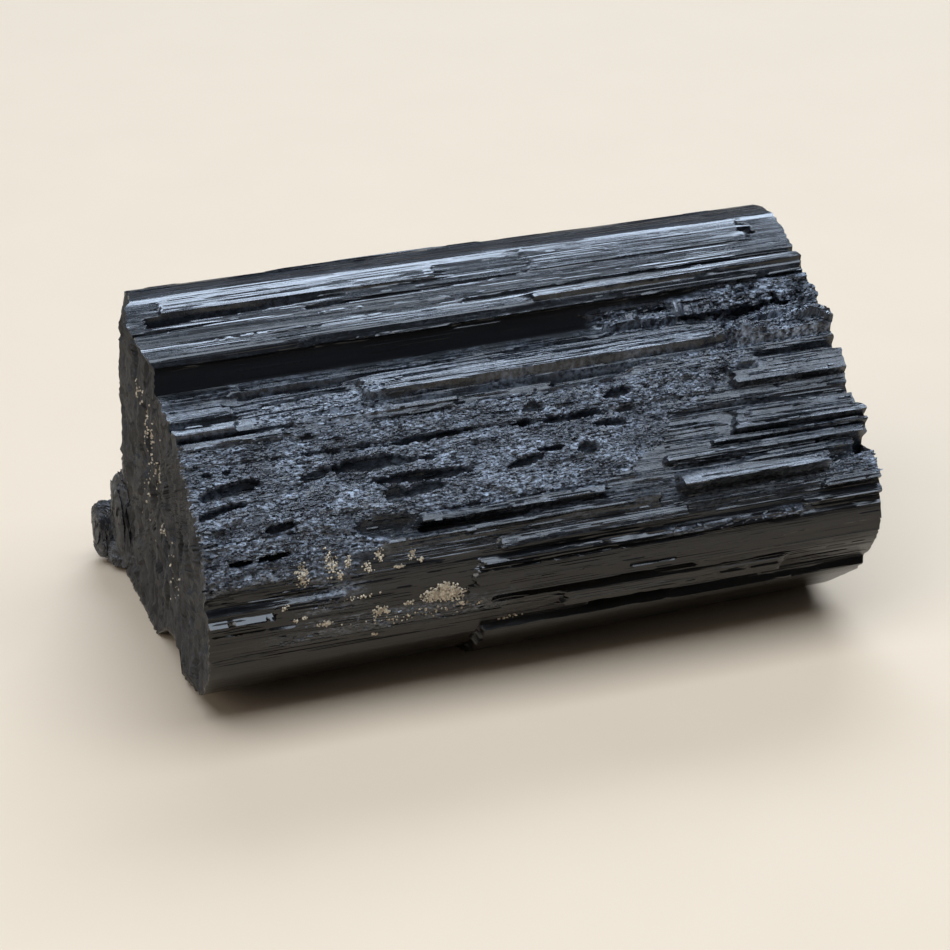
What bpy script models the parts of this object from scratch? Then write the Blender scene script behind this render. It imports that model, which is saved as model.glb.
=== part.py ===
"""Black tourmaline (schorl): one striated, slightly barrel-sided prism, broken off at both ends.

The prism lies along X, left end first, and rests on its flat base face. A point of its skin is
given by x, its distance from the left end, and s, the distance walked round the mean outline
from the front edge of the base, up the front, over the top and down the back. The crystal is
one solid: a core lofted between its two end outlines, the laths that grew on it joined to it,
and the grooves, pits and chips taken out of it.
"""

import math
import random

import bmesh
import bpy
from mathutils import Vector

MM = 0.001                      # every size below is in millimetres

# Driving dimensions
LENGTH = 70.0                   # between the two broken ends
STATIONS = 8                    # sections of the core, counting both ends
CORE_SINK = 1.6                 # how deep the root of a lath lies in the core
CUT_CLEAR = 2.5                 # how far a groove cutter stands out of the skin
END_ROUGHNESS = 0.35            # relief of the broken end faces
END_RINGS = (0.8, 0.6, 0.6, 0.5)  # each ring of facets on an end, as a share of the last
GROOVE_TAPER = 0.18             # how much of a groove's width each wall takes
PIT_CLEAR = 0.35                # height of a pit's widest level over the skin
COLLECTION = "tourmaline_crystal"

# Outline of the prism: place of the corner, (y, z) at the left end, (y, z) at the right end,
# then how far the broken end stands out past x = 0 on the left and past LENGTH on the right.
OUTLINE = (
    ("base, front edge",        (8.2, 0.7),    (8.0, 0.0),     0.0, -0.6),
    ("under the belly",         (1.0, 2.6),    (2.4, 2.4),     0.0, -0.8),
    ("belly, low",              (-2.7, 6.9),   (-2.2, 6.4),    0.0, -0.6),
    ("belly",                   (-3.9, 11.0),  (-5.9, 11.2),   0.1, 0.0),
    ("belly, widest",           (-4.3, 14.6),  (-6.3, 15.4),   0.2, 0.4),
    ("belly, high",             (-3.7, 17.8),  (-5.2, 18.4),   0.3, 0.0),
    ("front shoulder",          (-1.7, 22.3),  (-1.6, 21.5),   0.1, 0.0),
    ("front slope",             (3.3, 26.2),   (3.4, 25.3),    0.0, -0.4),
    ("shelf, outer edge",       (5.6, 28.5),   (7.0, 28.6),    0.1, 0.1),
    ("ledge, foot",             (13.0, 29.9),  (13.2, 30.1),   0.2, 0.7),
    ("ledge, crest",            (14.3, 33.0),  (14.5, 33.6),   0.6, 0.0),
    ("top band, front",         (18.0, 34.9),  (18.0, 35.1),   1.2, 0.0),
    ("top",                     (22.0, 36.3),  (22.0, 36.5),   0.7, 0.1),
    ("top, back edge",          (26.5, 35.8),  (27.0, 35.7),   -0.5, 0.0),
    ("back, high",              (30.0, 31.5),  (31.0, 31.0),   -0.4, -0.3),
    ("back, upper corner",      (31.0, 25.0),  (31.9, 25.0),   0.0, -0.5),
    ("back, middle",            (31.2, 17.0),  (31.6, 17.0),   0.2, -0.2),
    ("back, low",               (33.0, 8.0),   (32.8, 8.0),    0.3, 0.1),
    ("back, foot",              (33.2, 1.2),   (32.2, 1.2),    0.4, 0.0),
    ("base, back edge",         (31.8, 0.0),   (30.6, 0.0),    0.4, -0.2),
    ("base, front of the flat", (13.0, 0.0),   (10.0, 0.0),    0.3, -0.3),
)

# Laths that stand proud of the skin: name, x from and to, s of the lower and upper edge, rise
# at the lower and upper edge, and how far the lower and upper flank lean out to their roots.
LATHS = (
    ("lip of the ledge",       -0.5, 69.7, 49.7, 51.8,  0.55, 0.15,  0.2, 0.3),
    ("top lath, left",          3.5, 31.0, 56.0, 58.3,  0.55, 0.05,  0.3, 0.6),
    ("top lath, right",        41.0, 65.6, 55.0, 58.4,  0.30, 0.25,  0.5, 0.6),
    ("shelf lath",              7.0, 47.0, 45.0, 46.4,  0.45, 0.55,  0.2, 0.5),
    ("shelf lath, left end",   -0.1,  7.6, 44.9, 46.0,  0.35, 0.55,  0.2, 0.4),
    ("shelf chunk",            46.8, 55.0, 45.7, 47.3,  1.10, 1.20,  0.4, 0.4),
    ("lump under the ledge",   54.6, 61.4, 46.4, 48.8,  1.60, 1.10,  0.6, 0.3),
    ("bright chunk",           60.2, 65.4, 46.8, 48.3,  1.40, 1.40,  0.5, 0.3),
    ("end chunk",              64.9, 70.0, 46.9, 49.2,  1.40, 1.00,  0.6, 0.3),
    ("broad lath",             19.8, 58.4, 41.2, 44.2,  1.10, 0.70,  0.3, 0.2),
    ("broken block",           59.6, 70.6, 40.4, 45.8,  1.10, 0.70,  0.5, 1.2),
    ("left lath, high",        -0.1,  6.2, 42.1, 44.2,  0.60, 0.40,  0.2, 0.2),
    ("left lath, middle",       0.1,  6.0, 40.2, 41.1,  0.70, 0.60,  0.2, 0.2),
    ("left lath, bright",       0.8, 10.6, 38.4, 39.3,  0.85, 0.55,  0.2, 0.2),
    ("thin lath under groove", 18.0, 33.0, 38.6, 39.7,  0.55, 0.35,  0.3, 0.3),
    ("rough crust, lower",      0.0, 44.0, 28.4, 35.3,  0.25, 0.35,  0.8, 0.8),
    ("rough crust, upper",      0.0, 55.0, 36.2, 38.2,  0.35, 0.25,  0.3, 0.4),
    ("rough crust, foot",      -0.1,  8.8, 24.1, 28.0,  0.35, 0.35,  0.3, 0.6),
    ("right lath, high",       57.6, 69.8, 36.3, 38.3,  1.05, 0.60,  1.6, 0.3),
    ("right lath, mid",        56.5, 69.6, 32.2, 33.7,  0.75, 0.45,  0.2, 0.4),
    ("jutting lath",           56.0, 70.5, 31.3, 32.1,  1.10, 0.80,  0.3, 0.2),
    ("thin right lath",        53.0, 70.2, 30.3, 30.7,  0.75, 0.60,  0.2, 0.2),
    ("long bright ridge",      47.8, 69.6, 29.1, 29.8,  0.95, 0.50,  0.4, 0.2),
    ("slab",                   48.4, 64.5, 26.4, 28.1,  1.60, 0.60,  0.5, 0.2),
    ("slab, upper part",       56.0, 68.2, 27.5, 28.4,  1.05, 0.60,  0.5, 0.2),
    ("short ridge, upper",     63.7, 69.9, 24.1, 24.7,  0.70, 0.50,  0.3, 0.3),
    ("short ridge, lower",     61.5, 70.0, 22.7, 23.2,  0.55, 0.40,  0.3, 0.3),
    ("middle ridge",           21.5, 40.5, 27.3, 28.0,  0.95, 0.55,  0.2, 0.3),
    ("dark smooth face",       17.0, 48.2, 24.9, 26.2,  0.10, 0.75,  0.4, 0.2),
    ("lumpy lath",             29.0, 48.6, 23.7, 24.6,  0.75, 0.30,  0.2, 0.3),
    ("speckled crest",         27.0, 61.0, 22.0, 22.7,  0.65, 0.45,  0.2, 0.4),
    ("brown face",             26.5, 69.9, 20.1, 21.7,  0.25, 0.55,  0.3, 0.2),
    ("lower brown face",       25.6, 69.8, 18.6, 19.9,  0.20, 0.30,  0.2, 0.3),
    ("short bright lath",      -0.1,  6.2, 20.3, 21.4,  0.80, 0.60,  0.2, 0.2),
    ("belly lath",             36.0, 59.5, 15.2, 17.2,  0.55, 0.30,  0.2, 0.6),
    ("second layer",           26.4, 69.0,  2.8, 13.3,  0.80, 0.75,  0.6, 0.4),
    ("back lath, top",          0.2, 69.7, 64.8, 66.6,  0.60, 0.25,  0.4, 0.4),
    ("back lath, high",         6.0, 61.0, 69.6, 72.6,  0.45, 0.70,  0.5, 0.3),
    ("back lath, broad",        0.0, 52.0, 75.2, 79.4,  0.80, 0.45,  0.3, 0.6),
    ("back lath, right",       38.0, 69.8, 80.2, 83.2,  0.70, 0.55,  0.3, 0.3),
    ("back lath, left",         3.0, 33.0, 81.4, 83.9,  0.55, 0.65,  0.3, 0.3),
    ("back lath, low",         14.0, 69.9, 86.2, 89.6,  0.65, 0.40,  0.3, 0.4),
    ("back lath, foot",        22.0, 66.0, 92.6, 95.8,  0.55, 0.35,  0.3, 0.4),
)

# Grooves and steps cut into the skin: name, x from and to, s of the lower and upper edge at the
# start, the same at the end, and the depth at the start and at the end.
GROOVES = (
    ("crest groove",           36.0, 71.5, (52.1, 52.4), (51.9, 52.8), 0.3, 1.0),
    ("top groove, left",        1.3, 20.6, (54.6, 56.0), (55.4, 55.6), 1.5, 0.4),
    ("top groove, middle",     17.0, 35.0, (54.1, 54.6), (54.7, 54.9), 0.6, 0.3),
    ("top hair groove",        -2.0,  9.0, (53.7, 53.9), (54.1, 54.3), 0.4, 0.3),
    ("top notch",              65.5, 66.7, (56.0, 57.9), (55.6, 57.4), 0.9, 0.9),
    ("groove by the shelf",     7.9, 18.5, (44.3, 44.8), (44.3, 44.9), 0.9, 0.4),
    ("groove on the left",      9.8, 18.3, (42.7, 43.4), (43.5, 43.9), 0.9, 0.4),
    ("left groove, middle",    -1.6,  6.6, (41.3, 41.9), (41.5, 42.0), 0.9, 0.5),
    ("left groove, black",      0.4, 11.8, (39.5, 40.0), (39.4, 39.9), 1.1, 0.6),
    ("left pocket",            13.7, 17.0, (40.2, 40.9), (40.3, 41.1), 0.3, 0.8),
    ("groove, broad lath",     17.6, 36.0, (39.9, 40.9), (39.7, 40.9), 0.5, 1.0),
    ("groove, deepest",        35.9, 51.0, (39.7, 40.9), (40.0, 40.6), 1.0, 0.5),
    ("bay under the groove",   38.6, 47.0, (39.2, 40.4), (39.2, 40.4), 0.7, 0.7),
    ("notch, broken zone",     58.4, 59.9, (43.2, 45.4), (43.2, 46.6), 2.4, 2.4),
    ("slanted groove",         59.8, 65.7, (43.9, 46.0), (46.1, 46.8), 1.9, 0.8),
    ("end recess",             66.5, 72.5, (45.6, 46.7), (45.8, 46.8), 0.8, 1.3),
    ("end pocket",             67.8, 72.5, (42.6, 43.2), (43.0, 44.4), 0.3, 0.8),
    ("black lens, right",      61.0, 72.5, (38.8, 39.2), (38.6, 39.8), 0.5, 1.3),
    ("short cuts",             55.0, 60.4, (37.7, 38.0), (37.6, 38.3), 0.3, 0.7),
    ("black facet, foot",      48.0, 71.0, (34.2, 34.7), (33.9, 35.0), 0.3, 0.6),
    ("break in the slab",      64.5, 68.3, (26.5, 27.3), (26.9, 27.8), 1.3, 0.8),
    ("gap in the right rim",   68.3, 72.5, (27.2, 28.8), (27.2, 28.9), 2.6, 2.8),
    ("black groove, middle",   21.6, 33.0, (26.3, 27.1), (26.5, 26.9), 0.8, 0.5),
    ("left dark band",         -1.6, 13.0, (21.6, 23.5), (22.0, 22.9), 0.3, 0.1),
    ("smooth window",          15.2, 20.6, (26.9, 28.5), (27.2, 28.1), 0.7, 0.4),
    ("lower groove",           28.6, 50.0, (17.3, 18.4), (17.6, 18.4), 0.8, 0.4),
    ("belly step",             39.0, 58.0, (13.5, 15.0), (13.6, 14.8), 0.9, 0.5),
    ("back groove, high",      -2.0, 44.0, (67.6, 68.6), (67.8, 68.3), 0.9, 0.5),
    ("back groove, middle",    10.0, 72.0, (73.6, 74.3), (73.4, 74.4), 0.5, 1.1),
    ("back groove, low",       -2.0, 58.0, (84.6, 85.6), (84.8, 85.4), 1.0, 0.5),
    ("back groove, foot",      30.0, 72.0, (90.6, 91.5), (90.5, 91.7), 0.5, 1.0),
)

# Lens-shaped etch pits: x and s of the centre, length along the prism, width, depth, and the
# turn of the lens from the prism's axis in degrees, positive when its right end lies higher.
PITS = (
    (4.0, 33.3,  6.4, 1.3, 0.9,  8.0),
    (12.3, 33.6, 3.2, 0.9, 0.7, 10.0),
    (18.4, 33.9, 8.0, 1.5, 1.0,  0.0),
    (2.8, 31.2,  4.8, 0.9, 0.7,  9.0),
    (7.8, 28.9,  3.0, 0.8, 0.7,  8.0),
    (5.6, 26.2,  6.2, 0.6, 0.7,  4.0),
    (23.0, 31.8, 10.0, 1.0, 0.8, -2.0),
    (21.4, 30.5, 5.4, 1.3, 0.8,  6.0),
    (24.8, 35.7, 7.0, 0.8, 0.8,  2.0),
    (34.4, 35.8, 2.0, 0.9, 0.8,  0.0),
    (37.6, 35.8, 2.6, 0.9, 0.8,  0.0),
    (41.5, 35.8, 4.6, 0.9, 0.8,  0.0),
    (43.3, 34.5, 4.2, 1.1, 0.8,  0.0),
    (33.8, 31.8, 4.4, 0.9, 0.7, 10.0),
    (40.1, 32.0, 2.0, 1.6, 0.9,  0.0),
    (44.8, 37.5, 3.4, 1.5, 0.8,  6.0),
    (35.8, 37.2, 2.2, 1.8, 0.5,  0.0),
    (7.8, 36.6,  2.6, 2.6, 0.4,  0.0),
)

# Knob of small crystals grown on the foot of the back, at the left end: centre and radii.
KNOB = (
    ((3.0, 34.2, 5.2), (4.2, 4.0, 5.1)),
    ((-0.7, 36.4, 4.0), (2.0, 2.4, 3.3)),
    ((7.4, 34.2, 3.5), (3.4, 2.6, 3.2)),
)

# Holes in the broken left end face: (y, z) of the centre, radii in y and z, depth.
END_HOLES = (
    ((5.6, 16.8), (0.7, 2.6), 2.6),
    ((12.3, 13.9), (0.6, 1.1), 1.4),
    ((14.6, 10.2), (0.5, 2.2), 0.8),
    ((29.5, 5.2), (0.8, 4.2), 1.2),
)


# Laths whose left end is broken aslant: shift along x for each millimetre up the skin.
SLANTED_STARTS = {
    "second layer": -0.22,
    "slab": -0.9,
    "top lath, left": -0.8,
    "broad lath": -0.3,
    "shelf chunk": 0.4,
}

# Channel under the left end: x, then its section (y, z) there.
BASE_CHANNEL = (
    (-3.0, ((8.6, -1.0), (9.3, 4.3), (14.6, 3.3), (20.8, -1.0))),
    (15.0, ((12.0, -1.0), (12.5, 0.4), (15.0, 0.4), (17.0, -1.0))),
)


def clear_scene():
    for obj in list(bpy.data.objects):
        bpy.data.objects.remove(obj)


def new_collection(name):
    collection = bpy.data.collections.new(name)
    bpy.context.scene.collection.children.link(collection)
    return collection


def outline_at(x):
    """Corners (y, z) of the prism's outline in the section at x."""
    t = x / LENGTH
    return [Vector(left).lerp(Vector(right), t) for _, left, right, _, _ in OUTLINE]


def walk_lengths():
    """Distance s of every corner along the mean outline."""
    corners = outline_at(LENGTH / 2)
    lengths = [0.0]
    for here, there in zip(corners, corners[1:] + corners[:1]):
        lengths.append(lengths[-1] + (there - here).length)
    return lengths


def ridge_lengths():
    """Distance s of the corners that stand out, leaving those in a hollow."""
    corners = outline_at(LENGTH / 2)
    ridges = []
    for k, corner in enumerate(corners):
        before = corner - corners[k - 1]
        after = corners[(k + 1) % len(corners)] - corner
        if before.cross(after) < 0:
            ridges.append(WALK[k])
    return ridges


def skin_point(x, s, rise=0.0):
    """Point over the skin at x and s, raised square to it; on a corner, along its mitre."""
    corners = outline_at(x)
    count = len(corners)
    k = max(i for i in range(count) if WALK[i] <= s)
    share = (s - WALK[k]) / (WALK[k + 1] - WALK[k])
    here, there = corners[k], corners[(k + 1) % count]
    along = (there - here).normalized()
    if s == WALK[k]:
        along = (along + (here - corners[k - 1]).normalized()).normalized()
    y, z = here.lerp(there, share)
    return Vector((x, y - along.y * rise, z + along.x * rise))


def add_object(name, bm, collection, guide=True):
    """Make an object of a bmesh; a guide only shapes the crystal and is left out of it."""
    bmesh.ops.triangulate(bm, faces=bm.faces)
    bmesh.ops.recalc_face_normals(bm, faces=bm.faces)
    if bm.calc_volume(signed=True) < 0:
        bmesh.ops.reverse_faces(bm, faces=bm.faces)
    bmesh.ops.scale(bm, vec=(MM, MM, MM), verts=bm.verts)
    mesh = bpy.data.meshes.new(name)
    bm.to_mesh(mesh)
    bm.free()
    obj = bpy.data.objects.new(name, mesh)
    collection.objects.link(obj)
    if guide:
        obj.hide_render = True
        obj.display_type = 'WIRE'
    return obj


def build_core(collection):
    """Loft the prism between its end outlines and close it with two broken end faces."""
    bm = bmesh.new()
    rings = []
    for station in range(STATIONS):
        x = LENGTH * station / (STATIONS - 1)
        ring = []
        for (_, _, _, out_left, out_right), corner in zip(OUTLINE, outline_at(x)):
            shift = {0: -out_left, STATIONS - 1: out_right}.get(station, 0.0)
            ring.append(bm.verts.new((x + shift, corner.x, corner.y)))
        rings.append(ring)
    for ring, following in zip(rings, rings[1:]):
        bridge(bm, ring, following)
    rng = random.Random(5)
    close_end(bm, rings[0], rng)
    close_end(bm, rings[-1], rng)
    return add_object(COLLECTION, bm, collection, guide=False)


def bridge(bm, ring, following):
    """Join two rings of the same number of points with quads."""
    for i in range(len(ring)):
        j = (i + 1) % len(ring)
        bm.faces.new((ring[i], ring[j], following[j], following[i]))


def close_end(bm, ring, rng):
    """Fill an end ring with rings of facets that step in and out, as the fracture does."""
    centre = sum((v.co for v in ring), Vector()) / len(ring)
    for share in END_RINGS:
        inner = []
        for v in ring:
            spot = centre.lerp(v.co, share)
            spot.x += rng.uniform(-END_ROUGHNESS, END_ROUGHNESS)
            inner.append(bm.verts.new(spot))
        bridge(bm, ring, inner)
        ring = inner
    bm.faces.new(ring)


def add_bar(name, collection, start, end):
    """Loft a bar between two sections, each a list of points; it joins or cuts the crystal."""
    bm = bmesh.new()
    rings = [[bm.verts.new(point) for point in points] for points in (start, end)]
    bridge(bm, *rings)
    bm.faces.new(rings[0])
    bm.faces.new(rings[1])
    return add_object(name, bm, collection)


def lath_section(x, skew, lath):
    """Section of a lath: root, lower edge, the ridges that it covers, upper edge, root."""
    _, _, _, low, high, rise_low, rise_high, lean_low, lean_high = lath
    crossed = [s for s in RIDGES if low < s < high]
    points = [(low - lean_low, -CORE_SINK)]
    for s in [low] + crossed + [high]:
        points.append((s, rise_low + (rise_high - rise_low) * (s - low) / (high - low)))
    points.append((high + lean_high, -CORE_SINK))
    return [skin_point(x, s, rise) + Vector((skew * (s - low), 0, 0)) for s, rise in points]


def build_laths(collection):
    for lath in LATHS:
        name, x_from, x_to = lath[:3]
        skew = SLANTED_STARTS.get(name, 0.0)
        add_bar(name, collection, lath_section(x_from, skew, lath), lath_section(x_to, 0.0, lath))


def build_grooves(collection):
    for name, x_from, x_to, start, end, depth_from, depth_to in GROOVES:
        sections = []
        for x, (low, high), depth in ((x_from, start, depth_from), (x_to, end, depth_to)):
            narrow = (high - low) * GROOVE_TAPER
            sections.append([
                skin_point(x, low, CUT_CLEAR),
                skin_point(x, low + narrow, -depth),
                skin_point(x, high - narrow, -depth),
                skin_point(x, high, CUT_CLEAR),
            ])
        add_bar(name, collection, *sections)


def add_ellipsoid(name, collection, centre, axes):
    """Ellipsoid whose three half axes are given as vectors."""
    bm = bmesh.new()
    bmesh.ops.create_icosphere(bm, subdivisions=2, radius=1.0)
    for v in bm.verts:
        v.co = centre + axes[0] * v.co.x + axes[1] * v.co.y + axes[2] * v.co.z
    return add_object(name, bm, collection)


def build_pits(collection):
    for number, (x, s, length, width, depth, turn) in enumerate(PITS, 1):
        centre = skin_point(x, s)
        normal = (skin_point(x, s, 1.0) - centre).normalized()
        upward = normal.cross(Vector((1, 0, 0)))
        turn = math.radians(turn)
        along = Vector((math.cos(turn), 0, 0)) + upward * math.sin(turn)
        across = normal.cross(along)
        axes = (along * length / 2, across * width / 2, normal * (depth + PIT_CLEAR))
        add_ellipsoid(f"pit {number}", collection, centre + normal * PIT_CLEAR, axes)


def build_knob(collection):
    for number, (centre, radii) in enumerate(KNOB, 1):
        axes = [Vector(unit) * r for unit, r in zip(((1, 0, 0), (0, 1, 0), (0, 0, 1)), radii)]
        add_ellipsoid(f"knob {number}", collection, Vector(centre), axes)


def build_end_holes(collection):
    for number, ((y, z), (radius_y, radius_z), depth) in enumerate(END_HOLES, 1):
        axes = (Vector((depth, 0, 0)), Vector((0, radius_y, 0)), Vector((0, 0, radius_z)))
        add_ellipsoid(f"end hole {number}", collection, Vector((0, y, z)), axes)


def build_base_channel(collection):
    """The channel that runs in under the crystal from its left end and dies out."""
    sections = [[Vector((x, y, z)) for y, z in points] for x, points in BASE_CHANNEL]
    add_bar("base channel", collection, *sections)


def join_and_cut(crystal, laths, cutters):
    for name, operation, operands in (("grown laths", 'UNION', laths),
                                      ("grooves and pits", 'DIFFERENCE', cutters)):
        boolean = crystal.modifiers.new(name, 'BOOLEAN')
        boolean.operation = operation
        boolean.operand_type = 'COLLECTION'
        boolean.collection = operands
        boolean.solver = 'EXACT'


def schorl_material():
    material = bpy.data.materials.new("schorl")
    material.use_nodes = True
    shader = material.node_tree.nodes["Principled BSDF"]
    shader.inputs["Base Color"].default_value = (0.012, 0.013, 0.016, 1.0)
    shader.inputs["Roughness"].default_value = 0.35
    shader.inputs["Metallic"].default_value = 0.0
    return material


def stand_on_origin(crystal):
    """Move everything together, so that the crystal's box stands centred on the origin."""
    bpy.context.view_layer.update()
    solid = crystal.evaluated_get(bpy.context.evaluated_depsgraph_get())
    corners = [Vector(corner) for corner in solid.bound_box]
    low = Vector([min(corner[axis] for corner in corners) for axis in range(3)])
    high = Vector([max(corner[axis] for corner in corners) for axis in range(3)])
    shift = Vector(((low.x + high.x) / 2, (low.y + high.y) / 2, low.z))
    for obj in bpy.data.objects:
        obj.location -= shift


WALK = walk_lengths()
RIDGES = ridge_lengths()
clear_scene()
stone_collection = new_collection(COLLECTION)
lath_collection = new_collection("laths")
cutter_collection = new_collection("cutters")
crystal = build_core(stone_collection)
build_laths(lath_collection)
build_knob(lath_collection)
build_grooves(cutter_collection)
build_pits(cutter_collection)
build_end_holes(cutter_collection)
build_base_channel(cutter_collection)
join_and_cut(crystal, lath_collection, cutter_collection)
crystal.data.materials.append(schorl_material())
stand_on_origin(crystal)
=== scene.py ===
"""Looks of a black tourmaline (schorl) crystal lying on a pale floor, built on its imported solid.

A place on the crystal's skin is given by x, the distance in millimetres from its left end, and
by s, the distance walked round its outline: up the front from the base, over the top, and down
the back.
"""

import math

import bpy
import numpy as np
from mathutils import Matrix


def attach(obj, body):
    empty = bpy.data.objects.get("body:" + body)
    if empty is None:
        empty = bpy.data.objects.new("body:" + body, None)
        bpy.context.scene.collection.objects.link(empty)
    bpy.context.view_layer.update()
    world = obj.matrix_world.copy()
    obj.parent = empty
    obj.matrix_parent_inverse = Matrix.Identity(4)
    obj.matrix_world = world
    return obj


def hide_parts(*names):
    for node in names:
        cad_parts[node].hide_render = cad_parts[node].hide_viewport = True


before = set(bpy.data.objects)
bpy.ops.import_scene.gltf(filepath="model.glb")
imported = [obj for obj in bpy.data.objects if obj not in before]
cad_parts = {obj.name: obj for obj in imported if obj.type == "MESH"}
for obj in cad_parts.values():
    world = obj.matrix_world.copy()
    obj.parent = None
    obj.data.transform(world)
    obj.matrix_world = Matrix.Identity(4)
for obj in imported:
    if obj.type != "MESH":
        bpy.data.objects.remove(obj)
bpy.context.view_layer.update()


# ---------------------------------------------------------------------------------------------
# Camera: a short telephoto at reading distance, left of the crystal's middle, looking down.

CAMERA_PLACE = (-0.08325, -0.22849, 0.1379)
CAMERA_YAW = 20.0               # degrees to the right of straight ahead
CAMERA_PITCH = 27.0             # degrees below level
CAMERA_LENS = 98.5              # mm, over a 36 mm sensor

camera_data = bpy.data.cameras.new("camera")
camera_data.lens = CAMERA_LENS
camera_data.sensor_width = 36.0
camera_data.clip_start = 0.01
camera = bpy.data.objects.new("camera", camera_data)
bpy.context.scene.collection.objects.link(camera)
camera.location = CAMERA_PLACE
camera.rotation_euler = (math.radians(90.0 - CAMERA_PITCH), 0.0, math.radians(-CAMERA_YAW))
bpy.context.scene.camera = camera
bpy.context.scene.view_settings.view_transform = 'Standard'


# ---------------------------------------------------------------------------------------------
# Floor: a wide sheet of warm white card, matt, with the faint clouding of pulp.

FLOOR_SIZE = 6.0
CARD_LIGHT = (0.560, 0.446, 0.325, 1.0)
CARD_DARK = (0.535, 0.425, 0.308, 1.0)

bpy.ops.object.select_all(action='DESELECT')
bpy.ops.mesh.primitive_plane_add(size=FLOOR_SIZE, location=(0.0, 0.0, 0.0))
floor = bpy.context.object
floor.name = "floor"
card = bpy.data.materials.new("warm_card")
card.use_nodes = True
nodes, links = card.node_tree.nodes, card.node_tree.links
card_shader = nodes["Principled BSDF"]
card_place = nodes.new("ShaderNodeTexCoord")
card_pulp = nodes.new("ShaderNodeTexNoise")
card_pulp.inputs["Scale"].default_value = 60.0
card_pulp.inputs["Detail"].default_value = 6.0
card_tint = nodes.new("ShaderNodeMix")
card_tint.data_type = 'RGBA'
card_tint.inputs["A"].default_value = CARD_LIGHT
card_tint.inputs["B"].default_value = CARD_DARK
links.new(card_place.outputs["Object"], card_pulp.inputs["Vector"])
links.new(card_pulp.outputs["Fac"], card_tint.inputs["Factor"])
links.new(card_tint.outputs["Result"], card_shader.inputs["Base Color"])
card_shader.inputs["Roughness"].default_value = 0.85
floor.data.materials.append(card)


# ---------------------------------------------------------------------------------------------
# Light: a wide soft box overhead, a brighter cool window behind, and a dim warm room in front.

ROOM_LIGHT = (0.06, 0.059, 0.060, 1.0)
BACKDROP = (0.84, 0.77, 0.67, 1.0)
# name, place, what it faces, width, height, power in watts, colour
LIGHTS = (
    ("overhead", (0.0, -0.17, 0.9), (0.0, -0.17, 0.0), 1.5, 0.66, 15.5, (0.84, 0.96, 1.12)),
    ("window", (0.42, 1.0, 0.95), (0.0, 0.0, 0.0), 1.0, 0.5, 16.5, (0.78, 0.93, 1.15)),
    ("left fill", (-1.0, -0.2, 0.5), (0.0, 0.0, 0.02), 0.5, 0.5, 3.0, (1.0, 0.97, 0.92)),
)

for name, place, target, width, height, power, colour in LIGHTS:
    light_data = bpy.data.lights.new(name, 'AREA')
    light_data.shape = 'RECTANGLE'
    light_data.size = width
    light_data.size_y = height
    light_data.energy = power
    light_data.color = colour
    light = bpy.data.objects.new(name, light_data)
    bpy.context.scene.collection.objects.link(light)
    light.location = place
    aim = [there - here for here, there in zip(place, target)]
    level = math.hypot(aim[0], aim[1])
    light.rotation_euler = (math.atan2(level, -aim[2]), 0.0, math.atan2(-aim[0], aim[1]))
    light.visible_camera = False

room = bpy.data.worlds.new("room")
bpy.context.scene.world = room
room.use_nodes = True
nodes, links = room.node_tree.nodes, room.node_tree.links
room_light = nodes["Background"]
room_light.inputs["Color"].default_value = ROOM_LIGHT
backdrop = nodes.new("ShaderNodeBackground")
backdrop.inputs["Color"].default_value = BACKDROP
seen = nodes.new("ShaderNodeLightPath")
room_mix = nodes.new("ShaderNodeMixShader")
links.new(seen.outputs["Is Camera Ray"], room_mix.inputs["Fac"])
links.new(room_light.outputs["Background"], room_mix.inputs[1])
links.new(backdrop.outputs["Background"], room_mix.inputs[2])
links.new(room_mix.outputs["Shader"], nodes["World Output"].inputs["Surface"])


# ---------------------------------------------------------------------------------------------
# The crystal: schorl grows as a prism with a rounded three-sided outline, striated where one
# lath of growth lies beside the next. It was broken off at both ends and later etched, so its
# front has a sugary crust with smooth-floored pits. One mesh, lofted and carved by x and s.

MM = 0.001
LENGTH = 70.0
CORNER = (-34.049, -15.986)     # from the crystal's own left front corner to the frame, x and y
BASE_WRAP = 12.0                # how far under the base the mesh's seam lies
BASE_REACH = 24.0               # how far along s, at its end, the base runs
LEFT_FACE, RIGHT_FACE = 0.0, 69.8       # x of the two fractures, about which they stand out
FRACTURES_APART = 50.0          # keeps the right fracture from copying the left one
# place of the corner, (y, z) at the left end and at the right end, and how round it is, in mm
OUTLINE = (
    ((8.2, 0.7),    (8.0, 0.0),    0.3),
    ((1.0, 2.6),    (2.4, 2.4),    1.6),
    ((-2.7, 6.9),   (-2.2, 6.4),   1.6),
    ((-3.9, 11.0),  (-5.9, 11.2),  1.6),
    ((-4.3, 14.6),  (-6.3, 15.4),  1.6),
    ((-3.7, 17.8),  (-5.2, 18.4),  1.6),
    ((-1.7, 22.3),  (-1.6, 21.5),  1.6),
    ((3.3, 26.2),   (3.4, 25.3),   1.2),
    ((5.6, 28.5),   (7.0, 28.6),   0.3),
    ((13.0, 29.9),  (13.2, 30.1),  0.1),
    ((14.3, 33.0),  (14.5, 33.6),  0.1),
    ((18.0, 34.9),  (18.0, 35.1),  1.2),
    ((22.0, 36.3),  (22.0, 36.5),  1.4),
    ((26.5, 35.8),  (27.0, 35.7),  1.2),
    ((30.0, 31.5),  (31.0, 31.0),  1.0),
    ((31.0, 25.0),  (31.9, 25.0),  1.4),
    ((31.2, 17.0),  (31.6, 17.0),  1.4),
    ((33.0, 8.0),   (32.8, 8.0),   1.2),
    ((33.2, 1.2),   (32.2, 1.2),   0.3),
    ((31.8, 0.0),   (30.6, 0.0),   0.1),
    ((13.0, 0.0),   (10.0, 0.0),   0.1),
)
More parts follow.
